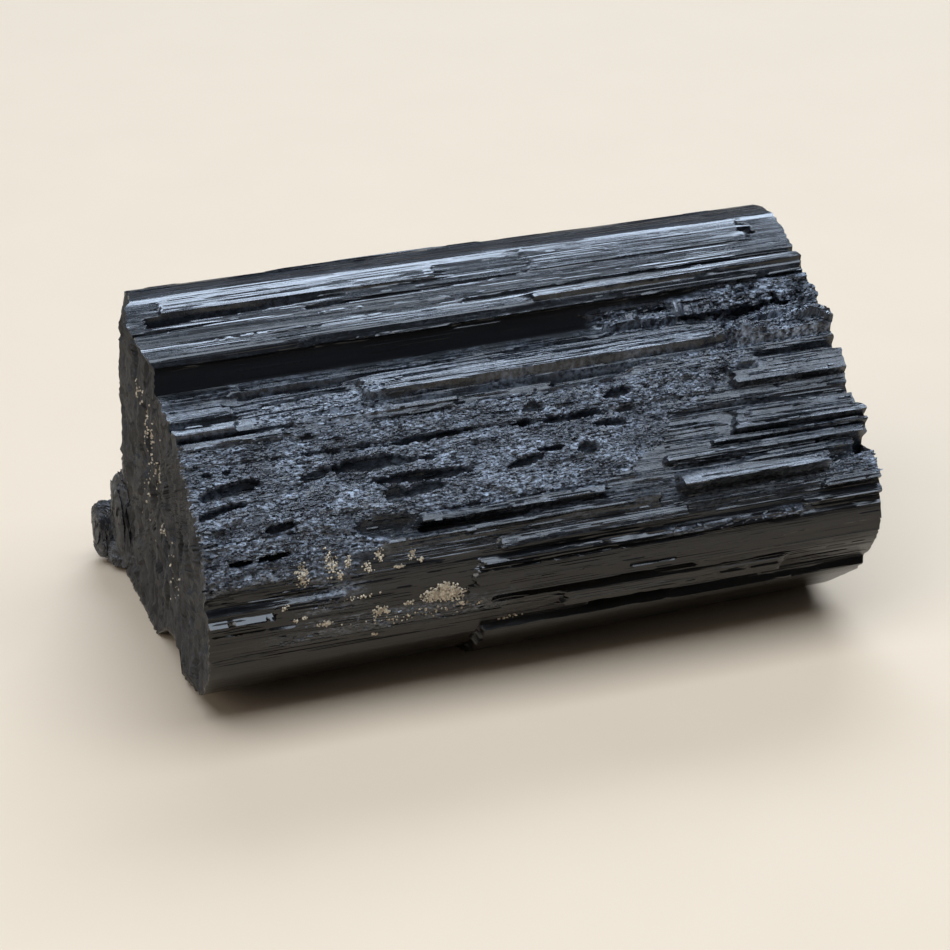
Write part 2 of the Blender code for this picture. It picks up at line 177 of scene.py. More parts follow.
# hollow under the left end: (y, z) across it at x = -3, and at x = 15 where it runs out
HOLLOW_END = ((8.6, -1.0), (9.3, 4.3), (14.6, 3.3), (20.8, -1.0))
HOLLOW_HEAD = ((12.0, -1.0), (12.5, 0.4), (15.0, 0.4), (17.0, -1.0))
# where the broken ends lie: s, then x
LEFT_RIM = (
    (-12, -0.3), (0, 0.0), (7, 0.0), (14, 0.0), (18, -0.2), (22, -0.3), (27, 0.0), (33, -0.1),
    (36, 0.0), (40, -0.1), (44, -0.1), (47, -0.2), (49.6, 0.0), (50.5, -0.5), (52, -0.8),
    (54, -1.1), (55, -1.3), (56, -1.2), (57.8, -1.0), (58.5, -0.4), (60, 0.0), (62.5, 0.5),
    (66, 0.5), (72, 0.4), (80, 0.0), (92, -0.2), (100, -0.3), (112.5, -0.3),
)
RIGHT_RIM = (
    (-12, 67.5), (0, 67.8), (7, 68.4), (10, 69.2), (12, 69.9), (13, 69.7), (13.8, 70.2), (15, 70.4),
    (18, 70.0), (20, 69.8), (27, 70.0), (28.8, 69.6), (29.2, 70.0), (30, 70.2), (30.9, 70.5),
    (32, 70.5), (32.3, 69.6), (34, 69.7), (36.5, 70.0), (38, 70.2), (39, 70.4), (40, 70.1),
    (42, 70.5), (44, 70.6), (46, 70.7), (47.3, 70.7), (49, 70.0), (60, 70.0), (61, 70.2),
    (64, 70.0), (70, 69.7), (76, 69.5), (84, 69.8), (92, 70.1), (99, 70.0), (112.5, 69.8),
)
AROUND = 760                    # faces round the prism
TOP_END = 64.0                  # s where the top gives way to the back
FACES_SHARE = (0.0, 0.09, 0.80, 1.0)    # share of AROUND at the seam, s = 0, TOP_END, seam
ROWS = 440                      # faces along it, with both broken ends
END_RINGS = 40                  # rings of faces on each broken end
HUB = (15.5, 17.0)              # (y, z) where the rings close
# holes in the left end: (y, z), half width and half height, depth
END_HOLES = (
    ((5.6, 16.8), (0.7, 2.6), 2.6),
    ((12.3, 13.9), (0.6, 1.1), 1.4),
    ((14.6, 10.2), (0.5, 2.2), 0.8),
    ((29.5, 5.2), (0.8, 4.2), 1.2),
)
TRIANGLES = 190000
SMOOTH_BELOW = 24.0             # degrees between faces that are shaded as one

# Laths that stand proud: x from, x to, s low, s high, rise low, rise high
LATHS = (
    (-2.0, 69.7, 49.7, 51.8, 0.42, 0.12),       # lip of the ledge
    (2.5, 31.0, 56.0, 58.3, 0.32, 0.03),        # top band
    (41.0, 65.6, 55.0, 58.4, 0.16, 0.12),
    (40.0, 72.0, 50.7, 51.9, 0.70, 0.30),
    (7.0, 47.0, 45.0, 46.4, 0.45, 0.55),        # shelf
    (-2.0, 7.6, 44.9, 46.0, 0.35, 0.55),
    (46.8, 55.0, 45.7, 47.3, 1.10, 1.20),       # broken zone
    (54.6, 61.4, 46.4, 48.8, 1.60, 1.10),
    (60.2, 65.4, 46.8, 48.3, 1.40, 1.40),
    (64.9, 72.0, 46.9, 49.2, 1.40, 1.00),
    (19.8, 58.4, 41.2, 44.2, 1.10, 0.70),       # broad lath
    (59.6, 72.0, 40.4, 45.8, 1.10, 0.70),
    (-2.0, 6.2, 42.1, 43.2, 0.40, 0.30),        # left end, high
    (-2.0, 5.6, 43.3, 44.1, 0.35, 0.25),
    (-2.0, 6.0, 40.2, 41.1, 0.45, 0.30),
    (0.5, 10.4, 38.4, 39.3, 0.60, 0.25),
    (18.5, 28.0, 39.25, 39.75, 0.55, 0.35),
    (19.0, 28.0, 38.7, 39.1, 0.45, 0.30),
    (28.0, 32.5, 38.2, 38.7, 0.45, 0.30),
    (0.0, 44.0, 28.4, 35.3, 0.25, 0.35),        # crust
    (0.0, 55.0, 36.2, 38.2, 0.35, 0.25),
    (-2.0, 8.8, 24.1, 28.0, 0.35, 0.35),
    (57.6, 72.0, 36.3, 38.3, 1.05, 0.60),       # right end
    (56.5, 72.0, 32.2, 33.7, 0.75, 0.45),
    (56.0, 72.0, 31.3, 32.1, 1.10, 0.80),
    (53.0, 72.0, 30.3, 30.7, 0.75, 0.60),
    (47.8, 69.6, 29.1, 29.8, 0.95, 0.55),
    (48.5, 63.8, 28.8, 29.0, 0.55, 0.45),
    (48.4, 64.5, 26.35, 28.0, 1.95, 0.50),      # slab
    (56.0, 68.2, 27.9, 28.6, 0.85, 0.30),
    (63.7, 72.0, 24.1, 24.7, 0.70, 0.50),
    (61.5, 72.0, 22.7, 23.2, 0.55, 0.40),
    (21.5, 40.5, 27.3, 28.0, 0.95, 0.55),       # middle
    (17.0, 46.0, 24.9, 26.2, 0.10, 0.75),
    (29.0, 48.6, 23.7, 24.6, 0.75, 0.30),
    (27.0, 61.0, 22.0, 22.7, 0.65, 0.45),
    (26.5, 72.0, 20.1, 21.7, 0.62, 0.32),       # brown faces
    (25.6, 72.0, 18.6, 19.9, 0.40, 0.15),
    (-2.0, 6.2, 20.3, 21.4, 0.40, 0.15),        # left end, low
    (36.0, 59.5, 15.2, 17.2, 0.55, 0.30),       # belly
    (28.0, 72.0, 2.8, 13.3, 0.80, 0.75),        # second layer
    (0.2, 72.0, 64.8, 66.6, 0.60, 0.25),        # back
    (6.0, 61.0, 69.6, 72.6, 0.45, 0.70),
    (-2.0, 52.0, 75.2, 79.4, 0.80, 0.45),
    (38.0, 72.0, 80.2, 83.2, 0.70, 0.55),
    (3.0, 33.0, 81.4, 83.9, 0.55, 0.65),
    (14.0, 72.0, 86.2, 89.6, 0.65, 0.40),
    (22.0, 66.0, 92.6, 95.8, 0.55, 0.35),
)
# Ridges whose upper side lies level and catches the window: x from, x to, s, width
GLINTS = (
    (48.0, 69.3, 29.3, 0.4),
    (58.1, 64.2, 36.3, 0.4), (64.2, 69.0, 36.3, 0.2), (50.0, 58.0, 34.0, 0.3),
    (47.5, 54.3, 32.7, 0.35), (56.8, 57.7, 31.7, 0.3), (58.4, 59.7, 31.5, 0.3),
    (60.0, 70.0, 31.4, 0.2), (27.0, 40.0, 27.5, 0.35), (30.0, 33.2, 27.8, 0.2),
    (17.7, 43.0, 25.95, 0.2), (29.0, 48.5, 24.2, 0.25), (27.0, 48.0, 22.5, 0.25),
    (44.0, 47.2, 22.8, 0.25), (27.0, 50.0, 21.6, 0.18), (26.5, 37.7, 20.0, 0.15),
    (43.0, 48.0, 19.4, 0.15), (52.0, 59.0, 16.5, 0.2), (0.0, 8.0, 18.8, 0.15),
    (-0.5, 6.2, 20.7, 0.45), (63.5, 70.0, 24.4, 0.3), (63.3, 70.0, 23.0, 0.25),
    (49.3, 55.5, 25.7, 0.2), (64.0, 68.7, 25.5, 0.2), (5.0, 12.0, 22.7, 0.15),
    (35.8, 41.3, 42.5, 0.35), (43.6, 49.3, 42.3, 0.35), (49.0, 51.3, 41.6, 0.25),
    (21.3, 23.4, 43.8, 0.3), (24.9, 28.3, 43.7, 0.3), (2.2, 5.4, 38.9, 0.35),
    (0.5, 10.0, 38.5, 0.15), (0.5, 6.0, 43.6, 0.25), (0.5, 6.0, 42.6, 0.2),
    (36.3, 42.3, 45.6, 0.25), (49.0, 52.5, 46.8, 0.35), (60.3, 65.0, 47.7, 0.35),
    (55.3, 58.5, 48.6, 0.25), (63.0, 67.5, 42.0, 0.3), (1.0, 8.5, 31.9, 0.25),
    (9.0, 10.8, 32.5, 0.2), (21.0, 24.5, 31.3, 0.2), (22.0, 24.0, 32.2, 0.2),
    (19.5, 27.2, 39.5, 0.2), (45.0, 51.5, 50.8, 0.2), (21.0, 69.8, 49.8, 0.2),
    (7.0, 12.2, 52.1, 0.5), (12.8, 17.4, 52.0, 0.5), (17.9, 24.0, 52.2, 0.35),
    (3.3, 7.6, 56.3, 0.2), (7.5, 9.4, 57.6, 0.3), (9.8, 11.4, 58.2, 0.3),
    (6.2, 7.4, 58.4, 0.3), (23.2, 28.4, 58.0, 0.35), (32.8, 34.2, 58.0, 0.3),
    (36.8, 39.8, 57.6, 0.3), (40.8, 42.2, 57.8, 0.3), (45.8, 48.3, 58.3, 0.3),
    (45.0, 50.0, 56.6, 0.25), (53.0, 54.2, 58.3, 0.3), (56.0, 59.2, 57.2, 0.3),
    (53.0, 55.2, 55.5, 0.25), (64.4, 65.6, 55.7, 0.25), (18.3, 22.2, 53.5, 0.3),
    (25.6, 28.2, 53.1, 0.3), (28.8, 31.2, 53.2, 0.3), (32.4, 34.2, 52.5, 0.3),
    (37.8, 42.7, 52.6, 0.3), (47.8, 50.2, 52.7, 0.3),
    (49.0, 56.8, 27.2, 0.5), (57.0, 64.4, 27.0, 0.25),
)
LEVEL_FACE = 80.0               # steepness of a glint's normal, in degrees above level
LEAST_TILT = 4.0                # how far a glint's upper side tips back from its lath, degrees
MOST_TILT = 58.0
# Grooves: x from, x to, s low and high at the start, the same at the end, depth at each
GROOVES = (
    (33.0, 72.0, 52.1, 52.5, 51.9, 52.9, 0.3, 1.0),     # behind the crest
    (0.8, 21.0, 54.6, 56.0, 55.4, 55.6, 1.5, 0.3),      # top, left
    (17.0, 40.0, 54.1, 54.6, 54.8, 55.1, 0.6, 0.2),
    (-2.0, 9.0, 53.7, 53.9, 54.1, 54.3, 0.4, 0.3),
    (65.5, 66.5, 56.0, 57.9, 55.6, 57.4, 0.9, 0.9),
    (7.9, 18.5, 44.3, 44.8, 44.3, 44.9, 0.9, 0.4),      # shelf
    (20.0, 58.0, 44.3, 44.9, 44.4, 45.0, 0.7, 0.7),
    (9.8, 18.3, 42.7, 43.4, 43.5, 43.9, 0.9, 0.4),
    (-2.0, 6.6, 41.3, 41.9, 41.5, 42.0, 0.9, 0.5),
    (0.4, 11.8, 39.5, 40.0, 39.4, 39.9, 1.1, 0.6),
    (13.7, 17.0, 40.2, 40.9, 40.3, 41.1, 0.3, 0.8),
    (17.6, 36.0, 39.9, 40.9, 39.7, 40.9, 0.5, 1.0),     # under the broad lath
    (35.9, 51.0, 39.7, 40.9, 40.0, 40.6, 1.0, 0.5),
    (38.6, 47.0, 39.2, 40.4, 39.2, 40.4, 0.7, 0.7),
    (58.4, 59.9, 43.2, 45.4, 43.2, 46.6, 2.4, 2.4),     # broken zone
    (59.8, 65.7, 43.9, 46.0, 46.1, 46.8, 1.9, 0.8),
    (66.5, 72.0, 45.6, 46.7, 45.8, 46.8, 0.8, 1.3),
    (67.8, 72.0, 42.6, 43.2, 43.0, 44.4, 0.3, 0.8),
    (61.0, 72.0, 38.8, 39.2, 38.6, 39.8, 0.5, 1.3),     # right end
    (55.0, 60.4, 37.7, 38.0, 37.6, 38.3, 0.3, 0.7),
    (48.0, 72.0, 34.2, 34.7, 33.9, 35.0, 0.3, 0.6),
    (64.5, 68.3, 26.5, 27.3, 26.9, 27.8, 1.3, 0.8),
    (68.3, 72.0, 27.2, 28.8, 27.2, 28.9, 2.6, 2.8),
    (21.6, 33.0, 26.3, 27.1, 26.5, 26.9, 0.8, 0.5),     # middle
    (-2.0, 13.5, 21.4, 23.6, 21.6, 23.4, 0.8, 0.5),
    (28.6, 50.0, 17.3, 18.4, 17.6, 18.4, 0.8, 0.4),
    (39.0, 58.0, 13.5, 15.0, 13.6, 14.8, 0.9, 0.5),
    (-2.0, 44.0, 67.6, 68.6, 67.8, 68.3, 0.9, 0.5),     # back
    (10.0, 72.0, 73.6, 74.3, 73.4, 74.4, 0.5, 1.1),
    (-2.0, 58.0, 84.6, 85.6, 84.8, 85.4, 1.0, 0.5),
    (30.0, 72.0, 90.6, 91.5, 90.5, 91.7, 0.5, 1.0),
)
# Etch pits, lens-shaped: x, s, length, width, depth, turn in degrees
PITS = (
    (4.0, 33.3,  6.4, 1.3, 0.9,  8.0),
    (12.3, 33.6, 3.2, 0.9, 0.7, 10.0),
    (18.4, 33.9, 8.0, 1.5, 1.0,  0.0),
    (23.8, 33.6, 1.8, 0.6, 0.4,  0.0),
    (1.2, 31.0,  2.0, 0.7, 0.6, 12.0),
    (3.5, 31.5,  3.4, 0.6, 0.6,  6.0),
    (7.8, 28.9,  3.0, 0.8, 0.7,  8.0),
    (3.4, 26.2,  2.4, 0.5, 0.6,  0.0),
    (6.7, 26.3,  3.4, 0.6, 0.7,  4.0),
    (23.0, 31.8, 10.0, 1.0, 0.8, -2.0),
    (19.6, 30.4, 2.2, 1.6, 0.8,  0.0),
    (22.6, 30.5, 4.0, 1.1, 0.8,  6.0),
    (24.0, 35.8, 8.0, 0.7, 0.8,  2.0),
    (34.4, 35.8, 2.0, 0.7, 0.8,  0.0),
    (37.6, 35.8, 2.2, 0.7, 0.8,  0.0),
    (41.3, 35.8, 4.2, 0.7, 0.8,  0.0),
    (45.3, 35.9, 2.0, 0.6, 0.6,  0.0),
    (43.4, 34.5, 3.8, 0.9, 0.8,  0.0),
    (33.6, 31.7, 4.0, 0.9, 0.7, 10.0),
    (36.4, 32.6, 3.0, 0.5, 0.5,  0.0),
    (40.2, 32.0, 2.1, 1.4, 0.9,  0.0),
    (45.0, 37.5, 3.2, 0.9, 0.8,  6.0),
    (35.8, 37.2, 2.2, 1.0, 0.4,  0.0),
    (12.6, 38.0, 1.4, 0.8, 0.5,  0.0),
    (2.0, 35.1,  1.0, 0.5, 0.4,  0.0),
    (4.0, 35.1,  0.9, 0.5, 0.4,  0.0),
    (15.0, 35.7, 1.0, 0.5, 0.4,  0.0),
    (18.0, 35.8, 1.2, 0.5, 0.4,  0.0),
    (17.9, 27.6, 5.6, 1.8, 0.7,  0.0),
)
# Lower and upper edge of the etched crust, as x, s
CRUST_FOOT = (
    (-2, 23.4), (8, 23.8), (17, 25.6), (20, 27.8), (41, 28.0), (44, 29.3), (48, 31.3),
    (50, 34.0), (56, 36.5), (60, 39.5), (62, 42.0), (72, 46.0),
)
CRUST_HEAD = (
    (-2, 38.2), (10, 38.3), (17, 39.0), (20, 38.6), (47, 38.8), (52, 40.0), (60, 41.0), (72, 41.0),
)
# How strongly a face is striated, as s, share
SILK = (
    (-12, 0.3), (0, 0.25), (14, 0.3), (16, 0.6), (19, 0.35), (22, 0.3), (23, 0.3), (24, 1.0),
    (45.8, 1.0),
    (46.5, 0.2), (49.3, 0.2), (49.9, 0.4), (55, 0.25), (58, 0.18), (64, 0.2), (68, 1.2), (112, 1.2),
)
# How dull a face is with fine etching, and how far painted sheen pales its colour, as s, share
DULL_AND_SHEEN = (
    (-12, 0.0), (23, 0.0), (25, 0.10), (26, 0.16), (40, 0.17), (41, 0.22),
    (45, 0.20), (46.3, 0.12), (46.6, 0.0),
    (49.4, 0.0), (50, 0.05), (54, 0.05), (56, 0.06), (64, 0.06), (70, 0.1), (112, 0.1),
)
# Other rough patches: x from, x to, s low, s high, how rough
ROUGH = (
    (58.0, 72.0, 40.0, 49.5, 1.0),
    (46.0, 58.0, 45.0, 48.8, 0.5),
    (63.5, 72.0, 24.8, 27.6, 0.8),
    (6.0, 30.0, 15.8, 19.0, 0.3),
    (46.0, 63.0, 21.9, 22.8, 0.5),
    (8.0, 22.0, 39.0, 43.0, 0.6),
    (9.0, 15.0, 19.5, 25.0, 0.4),
    (42.0, 72.0, -10.0, 2.0, 0.4),
)
HEIGHTS = 4096                  # random heights in a row of striae
HEIGHTS_START = 1000.0          # where x or s = 0 falls in that row
LATTICE = 512                   # cells along a side of a field of random heights
LATTICE_START = 100.0           # where x or s = 0 falls in that field
STRIAE_SPANS = 20               # stretches of the prism that have striae of their own


def join_heights(seed, spacing, v):
    """Random heights at even spacing, joined by straight slopes, as striae are."""
    heights = np.random.default_rng(seed).uniform(-1.0, 1.0, HEIGHTS)
    return np.interp(v / spacing + HEIGHTS_START, np.arange(HEIGHTS), heights)


def cloud(seed, size_x, size_s, x, s):
    """Smooth random height between -1 and 1 over the skin."""
    lattice = np.random.default_rng(seed).uniform(-1.0, 1.0, (LATTICE, LATTICE))
    across, along = s / size_s + LATTICE_START, x / size_x + LATTICE_START
    i, j = np.floor(across).astype(int), np.floor(along).astype(int)
    u, v = across - i, along - j
    u, v = u * u * (3 - 2 * u), v * v * (3 - 2 * v)
    i_next, j_next = (i + 1) % LATTICE, (j + 1) % LATTICE
    i, j = i % LATTICE, j % LATTICE
    low = lattice[i, j] * (1 - v) + lattice[i, j_next] * v
    high = lattice[i_next, j] * (1 - v) + lattice[i_next, j_next] * v
    return low * (1 - u) + high * u


def chips(seed, size_x, size_s, x, s):
    """Height of a mosaic of small flat faces, each at its own level and tilt."""
    rng = np.random.default_rng(seed)
    shift_x, shift_s, level, tilt_x, tilt_s = rng.uniform(-1.0, 1.0, (5, LATTICE, LATTICE))
    cell_x, cell_s = x / size_x + LATTICE_START, s / size_s + LATTICE_START
    nearest = np.full(x.shape, 9.0)
    height = np.zeros(x.shape)
    for i in (-1, 0, 1):
        for j in (-1, 0, 1):
            a, b = np.floor(cell_x).astype(int) + i, np.floor(cell_s).astype(int) + j
            at = (a % LATTICE, b % LATTICE)
            dx = cell_x - a - 0.5 - 0.45 * shift_x[at]
            ds = cell_s - b - 0.5 - 0.45 * shift_s[at]
            far = dx * dx + ds * ds
            here = far < nearest
            face = 0.5 * level[at] + tilt_x[at] * dx + tilt_s[at] * ds
            height = np.where(here, face, height)
            nearest = np.where(here, far, nearest)
    return height


def ramp(v, start, stop):
    """0 at start and beyond, 1 at stop and beyond."""
    return np.clip((v - start) / (stop - start), 0.0, 1.0)


def striae(seed, spacing, x, s, reach=11.0):
    """Striae that change slowly along the prism, as laths end and others begin."""
    span = x / reach + 10.0
    first = np.floor(span)
    share = span - first
    height = np.zeros(x.shape)
    for k in range(STRIAE_SPANS):
        held = np.where(first == k, 1 - share, 0.0) + np.where(first == k - 1, share, 0.0)
        if held.any():
            height = height + held * join_heights(seed + k, spacing, s)
    return height


def crust_cover(x, s):
    """How far the skin is etched to a crust, from 0 to 1."""
    foot = np.interp(x, *zip(*CRUST_FOOT)) + 0.35 * cloud(31, 1.5, 1.5, x, s)
    head = np.interp(x, *zip(*CRUST_HEAD)) + 0.25 * cloud(32, 1.5, 1.5, x, s)
    return np.minimum(ramp(s, foot - 0.15, foot + 0.25), ramp(s, head + 0.25, head - 0.15))


def lump_cover(x, s):
    """How far the skin is broken into lumps, near the right end under the ledge."""
    under = np.minimum(ramp(s, 40.2, 41.2), ramp(s, 49.6, 49.0))
    main = np.minimum(under, ramp(x, 57.5 + 0.5 * (s - 44), 59.0 + 0.5 * (s - 44)))
    strip = np.minimum(ramp(s, 45.0, 45.6), ramp(s, 48.6, 48.0))
    return np.maximum(main, 0.5 * np.minimum(strip, ramp(x, 44.0, 50.0)))


def rough_cover(x, s):
    """How far a patch outside the crust is rough, from 0 to 1."""
    rough = np.zeros(x.shape)
    for x_from, x_to, low, high, share in ROUGH:
        along = np.minimum(ramp(x, x_from - 1, x_from + 1), ramp(x, x_to + 1, x_to - 1))
        across = np.minimum(ramp(s, low - 0.2, low + 0.3), ramp(s, high + 0.2, high - 0.3))
        rough = np.maximum(rough, share * along * across)
    return rough


def relief(x, s):
    """Height of the skin over its outline in mm, and how rough it is, from 0 to 1."""
    silk = np.interp(s, *zip(*SILK))
    height = silk * (0.10 * striae(100, 0.95, x, s) + 0.045 * striae(200, 0.31, x, s, 7.0))
    smooth = np.zeros(x.shape)
    stray = 0.10 * cloud(41, 9.0, 3.0, x, s) + 0.04 * cloud(42, 1.3, 1.0, x, s)
    for k, (x_from, x_to, low, high, rise_low, rise_high) in enumerate(LATHS):
        near = np.flatnonzero((x > x_from - 1) & (x < x_to + 1) & (s > low - 1) & (s < high + 1))
        xn, sn = x[near], s[near] + stray[near]
        torn = 0.35 * join_heights(300 + k, 0.4, sn)
        across = np.minimum(ramp(sn, low - 0.16, low), ramp(sn, high + 0.22, high))
        along = np.minimum(ramp(xn, x_from + torn - 0.25, x_from + torn),
                           ramp(xn, x_to + torn + 0.25, x_to + torn))
        top = rise_low + (rise_high - rise_low) * ramp(sn, low, high)
        top = top + 0.35 * height[near]
        cover = across * along
        height[near] += (top - height[near]) * cover
    for k, row in enumerate(GROOVES):
        x_from, x_to, low_from, high_from, low_to, high_to, depth_from, depth_to = row
        floor_low, floor_high = min(low_from, low_to), max(high_from, high_to)
        near = np.flatnonzero((x > x_from - 1) & (x < x_to + 1)
                              & (s > floor_low - 1) & (s < floor_high + 1))
        xn, sn = x[near], s[near] + stray[near]
        share = ramp(xn, x_from, x_to)
        low = low_from + (low_to - low_from) * share
        high = high_from + (high_to - high_from) * share
        depth = depth_from + (depth_to - depth_from) * share
        torn = 0.3 * join_heights(400 + k, 0.3, sn)
        along = np.minimum(ramp(xn, x_from + torn - 0.3, x_from + torn + 0.3),
                           ramp(xn, x_to + torn + 0.3, x_to + torn - 0.3))
        width = high - low
        across = np.minimum(ramp(sn, low - 0.06, low + 0.18 * width),
                            ramp(sn, high + 0.06, low + 0.45 * width))
        height[near] -= depth * across * along
    for k, (x_from, x_to, s_mid, width) in enumerate(GLINTS):
        near = np.flatnonzero((x > x_from - 1) & (x < x_to + 1) & (abs(s - s_mid) < width + 0.5))
        xn, sn = x[near], s[near] + 0.5 * stray[near]
        torn = 0.5 * join_heights(350 + k, 0.2, sn)
        gap = ramp(join_heights(360 + k, 0.9, xn), -0.75, -0.55)
        along = np.minimum(ramp(xn, x_from + torn - 0.2, x_from + torn),
                           ramp(xn, x_to + torn + 0.2, x_to + torn)) * gap
        low, high = s_mid - width / 2, s_mid + width / 2
        x_mid = (x_from + x_to) / 2
        face = outline_face = face_steepness(x_mid, s_mid)
        for lath_from, lath_to, lath_low, lath_high, rise_low, rise_high in LATHS:
            if lath_from < x_mid < lath_to and lath_low - 0.2 < s_mid < lath_high:
                slope = (rise_low - rise_high) / (lath_high - lath_low)
                face = outline_face + math.degrees(math.atan(slope))
        tilt = math.radians(np.clip(LEVEL_FACE - face, LEAST_TILT, MOST_TILT))
        wedge = math.tan(tilt) * (high - np.clip(sn, low, high))
        height[near] += wedge * ramp(sn, low - 0.10, low) * along
    crust = crust_cover(x, s)
    for k, (x_mid, s_mid, length, width, depth, turn) in enumerate(PITS):
        near = np.flatnonzero((abs(x - x_mid) < 0.6 * length + 1) & (abs(s - s_mid) < width + 1))
        dx, ds = x[near] - x_mid, s[near] + 0.5 * stray[near] - s_mid
        cos, sin = math.cos(math.radians(turn)), math.sin(math.radians(turn))
        u = (dx * cos + ds * sin) / (0.56 * length)
        v = (ds * cos - dx * sin) / (0.62 * width)
        lens = 1 - np.sqrt(u * u + v * v) + 0.12 * cloud(500 + k, 0.6, 0.6, x[near], s[near])
        cover = ramp(lens, 0.0, 0.16)
        bowl = -1.15 * depth * (0.65 + 0.35 * ramp(lens, 0.0, 0.8)) + 0.45 * depth * v
        height[near] += (bowl - height[near]) * cover
        smooth[near] = np.maximum(smooth[near], cover)
    rough = np.maximum(crust, rough_cover(x, s)) * (1 - 0.9 * smooth)
    lumps = lump_cover(x, s)
    height = height + lumps * (1.1 * chips(65, 3.0, 1.5, x, s) + 0.45 * chips(66, 1.1, 0.7, x, s))
    hollows = ramp(cloud(63, 3.2, 1.7, x, s) + 0.5 * cloud(64, 1.2, 0.8, x, s), 0.15, 0.75)
    height = height - 0.42 * crust * (1 - smooth) * hollows
    height = height + rough * (0.12 * chips(61, 1.2, 0.8, x, s) + 0.07 * chips(62, 0.4, 0.35, x, s))
    return height, rough


# The outline, finely sampled: the corners of the left and right sections, rounded.
left = np.array([row[0] for row in OUTLINE])
right = np.array([row[1] for row in OUTLINE])
roundness = np.array([row[2] for row in OUTLINE])
middle = (left + right) / 2
corner_s = np.append(0.0, np.cumsum(np.hypot(*(np.roll(middle, -1, axis=0) - middle).T)))
whole_way = corner_s[-1]
fine_s = np.linspace(0.0, whole_way, 2500, endpoint=False)
fine_step = fine_s[1]
sections = []
for corners in (left, right):
    closed = np.vstack((corners, corners[:1]))
    sharp = np.array([np.interp(fine_s, corner_s, closed[:, axis]) for axis in (0, 1)])
    rounded = sharp.copy()
    for radius in (0.3, 1.0, 1.6):
        width = int(3 * radius / fine_step)
        bell = np.exp(-0.5 * (np.arange(-width, width + 1) * fine_step / (0.6 * radius)) ** 2)
        bell /= bell.sum()
        wrapped = np.concatenate((sharp[:, -width:], sharp, sharp[:, :width]), axis=1)
        softer = np.array([np.convolve(row, bell, mode='valid') for row in wrapped])
        nearest = np.abs(fine_s[:, None] - corner_s[None, :])
        own = np.append(roundness, roundness[0])[np.argmin(nearest, axis=1)]
        rounded = np.where(own >= radius, softer, rounded)
    sections.append(rounded)


def skin_place(x, s, height):
    """(y, z) of a point over the skin, in mm from the crystal's own corner."""
    share = x / LENGTH
    place = []
    tangent = []
    for axis in (0, 1):
        row = [section[axis] for section in sections]
        here = [np.interp(s, fine_s, r, period=whole_way) for r in row]
        ahead = [np.interp(s + 0.15, fine_s, r, period=whole_way) for r in row]
        behind = [np.interp(s - 0.15, fine_s, r, period=whole_way) for r in row]
        place.append(here[0] * (1 - share) + here[1] * share)
        tangent.append((ahead[0] - behind[0]) * (1 - share) + (ahead[1] - behind[1]) * share)
    size = np.hypot(tangent[0], tangent[1])
    y = place[0] - tangent[1] / size * height
    z = place[1] + tangent[0] / size * height
    out = ramp(x, 15.0, -3.0)
    across = [[here + (there - here) * out for here, there in zip(head, end)]
              for head, end in zip(HOLLOW_HEAD, HOLLOW_END)]
    hollow = np.zeros(x.shape)
    for (y_here, z_here), (y_next, z_next) in zip(across, across[1:]):
        rise = z_here + (z_next - z_here) * (y - y_here) / (y_next - y_here)
        hollow = np.where((y >= y_here) & (y < y_next), np.maximum(rise, 0.0), hollow)
    under = (s < 0.0) | (s > whole_way - BASE_REACH)
    return y, np.maximum(np.where(under, np.maximum(z, hollow), z), 0.0)


def face_steepness(x, s):
    """How far the outline's normal at x and s points above level, in degrees."""
    low, high = [[sum(share * np.interp(s + step, fine_s, section[axis], period=whole_way)
                      for share, section in zip((1 - x / LENGTH, x / LENGTH), sections))
                  for axis in (0, 1)] for step in (-0.5, 0.5)]
    return math.degrees(math.atan2(high[0] - low[0], high[1] - low[1]))


def fracture(y, z):
    """How far a broken end stands out, in mm: torn fibres that run up the face, in steps."""
    height = 0.35 * cloud(81, 0.7, 4.0, y, z) + 0.45 * chips(82, 1.8, 3.2, y, z)
    return height + 0.16 * chips(84, 0.5, 0.9, y, z) + 0.08 * cloud(83, 0.3, 0.9, y, z)


# A sheet of quads is rolled round the prism, and its two ends are drawn in over the fractures.
bpy.ops.object.select_all(action='DESELECT')
bpy.ops.mesh.primitive_grid_add(x_subdivisions=AROUND, y_subdivisions=ROWS, size=1.0,
                                location=(0.0, 0.0, 0.0))
crystal = bpy.context.object
crystal.name = "schorl_crystal"
mesh = crystal.data
place = np.empty(len(mesh.vertices) * 3)
mesh.vertices.foreach_get("co", place)
place = place.reshape(-1, 3) + 0.5
turn, row = place[:, 0], np.rint(place[:, 1] * ROWS)
along = ramp(row, END_RINGS, ROWS - END_RINGS)
reach = np.minimum(ramp(row, 0, END_RINGS), ramp(row, ROWS, ROWS - END_RINGS))
on_end = reach < 1.0
s = np.interp(turn, FACES_SHARE, (-BASE_WRAP, 0.0, TOP_END, whole_way - BASE_WRAP))
rim_left = np.interp(s, *zip(*LEFT_RIM)) + 0.14 * join_heights(71, 0.35, s)
rim_right = np.interp(s, *zip(*RIGHT_RIM)) + 0.16 * join_heights(72, 0.4, s)
x = rim_left + (rim_right - rim_left) * along
height, rough = relief(x, s)
y, z = skin_place(x, s, height)
